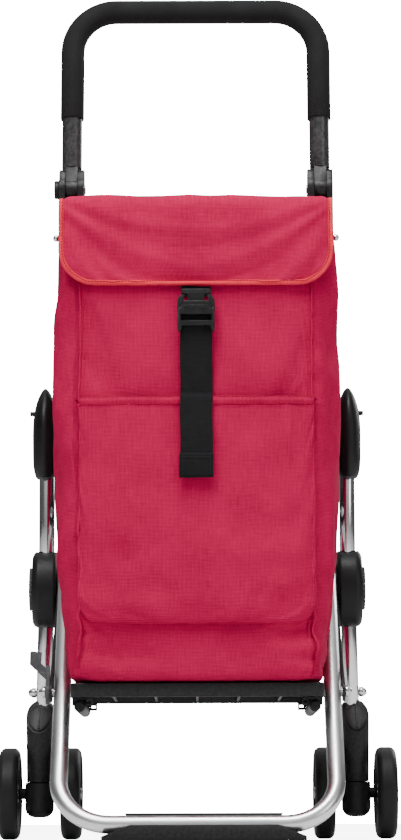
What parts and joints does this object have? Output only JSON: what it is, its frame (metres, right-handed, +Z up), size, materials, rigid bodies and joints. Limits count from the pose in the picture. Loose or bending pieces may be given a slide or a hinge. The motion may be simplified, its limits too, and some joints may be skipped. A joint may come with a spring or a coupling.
{
  "type": "shopping trolley",
  "caption": "Folding shopping trolley: tall fabric bag with flap and pocket on a tubular frame with a U-shaped front leg, twin wheels and a foam-covered handle.",
  "frame": {"origin": "on the floor, under the middle of the trolley's outer box", "axes": "+X to the right seen from the front, +Y to the back, +Z up"},
  "size_m": [0.478, 0.37, 1.048],
  "materials": {
    "black_tube": "satin black powder coat",
    "black_plastic": "fine moulded texture",
    "grey_plastic": "fine moulded texture",
    "aluminium": "satin anodised tube",
    "steel": "bright plated steel",
    "tyre": "black, slightly glossy",
    "foot_rubber": "matte",
    "foam": "matte closed-cell foam",
    "bag_fabric": "plain-weave polyester, crimson",
    "binding_tape": "woven tape, coral red",
    "webbing": "ribbed black webbing"
  },
  "bodies": {
    "rear_frame": {"main_tube_left": "black_tube", "main_tube_right": "black_tube", "lower_knuckle_left": "black_plastic", "lower_knuckle_right": "black_plastic", "knuckle_pins": "steel", "hinge_clevis_left": "black_plastic", "hinge_clevis_right": "black_plastic", "hinge_pins": "steel", "cross_bar": "black_tube", "hanger_rod": "steel", "rod_clips": "black_plastic", "pod_left": "black_plastic", "pod_right": "black_plastic", "strut_left": "aluminium", "strut_right": "aluminium", "hub_left": "black_plastic", "hub_right": "black_plastic", "hub_caps": "grey_plastic", "leg_tube_left": "aluminium", "leg_tube_right": "aluminium", "leg_bolts": "steel", "wheel_leg_left": "black_plastic", "wheel_leg_right": "black_plastic", "leg_caps": "black_plastic", "wheel_collar_left": "black_plastic", "wheel_collar_right": "black_plastic", "axles": "steel", "stay_pins": "steel", "bag_body": "bag_fabric", "bag_pocket": "bag_fabric", "strap": "webbing", "buckle_housing": "black_plastic", "buckle_plug": "black_plastic"},
    "handle": {"handle_tube": "black_tube", "handle_grip": "foam", "handle_knuckles": "black_plastic"},
    "handle_button": {"release_button": "black_plastic"},
    "front_leg": {"front_tube": "aluminium", "foot_pad": "foot_rubber", "tube_ends": "black_plastic", "platform_rod": "steel"},
    "platform": {"platform_tray": "black_plastic", "tray_rails": "black_plastic", "tray_brackets": "black_plastic", "base_board": "black_plastic"},
    "side_stays": {"side_stay_left": "black_plastic", "side_stay_right": "black_plastic"},
    "latch": {"fold_latch": "grey_plastic"},
    "flap": {"flap_panel": "bag_fabric", "flap_binding": "binding_tape"},
    "prong_left": {"buckle_prong_left": "black_plastic"},
    "prong_right": {"buckle_prong_right": "black_plastic"},
    "wheel_left_outer": {"tyre_left_outer": "tyre", "rim_left_outer": "grey_plastic"},
    "wheel_left_inner": {"tyre_left_inner": "tyre", "rim_left_inner": "grey_plastic"},
    "wheel_right_outer": {"tyre_right_outer": "tyre", "rim_right_outer": "grey_plastic"},
    "wheel_right_inner": {"tyre_right_inner": "tyre", "rim_right_inner": "grey_plastic"}
  },
  "joints": [
    {"name": "handle_fold", "type": "hinge", "parent": "rear_frame", "child": "handle", "pos_m": [0, 0.11, 0.798], "axis": [1, 0, 0], "range_deg": [0, 85]},
    {"name": "handle_button_press", "type": "slide", "parent": "rear_frame", "child": "handle_button", "axis": [1, 0, 0], "range_m": [0, 0.003], "stiffness_N_per_m": 400, "springref_m": -0.002},
    {"name": "front_leg_fold", "type": "hinge", "parent": "rear_frame", "child": "front_leg", "pos_m": [0, 0.09, 0.394], "axis": [1, 0, 0], "range_deg": [0, 28], "deforming": ["bag_body", "bag_pocket"]},
    {"name": "platform_fold", "type": "hinge", "parent": "front_leg", "child": "platform", "pos_m": [0, -0.06477, 0.168], "axis": [1, 0, 0], "range_deg": [0, 56]},
    {"name": "side_stay_turn", "type": "hinge", "parent": "rear_frame", "child": "side_stays", "pos_m": [0, 0.102, 0.3], "axis": [1, 0, 0], "range_deg": [0, 39]},
    {"name": "fold_latch_turn", "type": "hinge", "parent": "front_leg", "child": "latch", "pos_m": [0, -0.06477, 0.168], "axis": [1, 0, 0], "range_deg": [0, 35]},
    {"name": "flap_open", "type": "hinge", "parent": "rear_frame", "child": "flap", "pos_m": [0, 0.074, 0.7535], "axis": [-1, 0, 0], "range_deg": [0, 95]},
    {"name": "prong_left_press", "type": "slide", "parent": "rear_frame", "child": "prong_left", "axis": [1, 0, 0], "range_m": [0, 0.003], "stiffness_N_per_m": 300, "springref_m": -0.002},
    {"name": "prong_right_press", "type": "slide", "parent": "rear_frame", "child": "prong_right", "axis": [-1, 0, 0], "range_m": [0, 0.003], "stiffness_N_per_m": 300, "springref_m": -0.002},
    {"name": "wheel_left_outer_spin", "type": "hinge", "parent": "rear_frame", "child": "wheel_left_outer", "pos_m": [-0.227, 0.13, 0.055], "axis": [1, 0, 0], "continuous": true},
    {"name": "wheel_left_inner_spin", "type": "hinge", "parent": "rear_frame", "child": "wheel_left_inner", "pos_m": [-0.1526, 0.13, 0.055], "axis": [1, 0, 0], "continuous": true},
    {"name": "wheel_right_outer_spin", "type": "hinge", "parent": "rear_frame", "child": "wheel_right_outer", "pos_m": [0.227, 0.13, 0.055], "axis": [1, 0, 0], "continuous": true},
    {"name": "wheel_right_inner_spin", "type": "hinge", "parent": "rear_frame", "child": "wheel_right_inner", "pos_m": [0.1526, 0.13, 0.055], "axis": [1, 0, 0], "continuous": true}
  ],
  "couplings": [
    {"joint": "platform_fold", "follows": "front_leg_fold", "ratio": 1.9643},
    {"joint": "side_stay_turn", "follows": "front_leg_fold", "ratio": 1.3646}
  ]
}
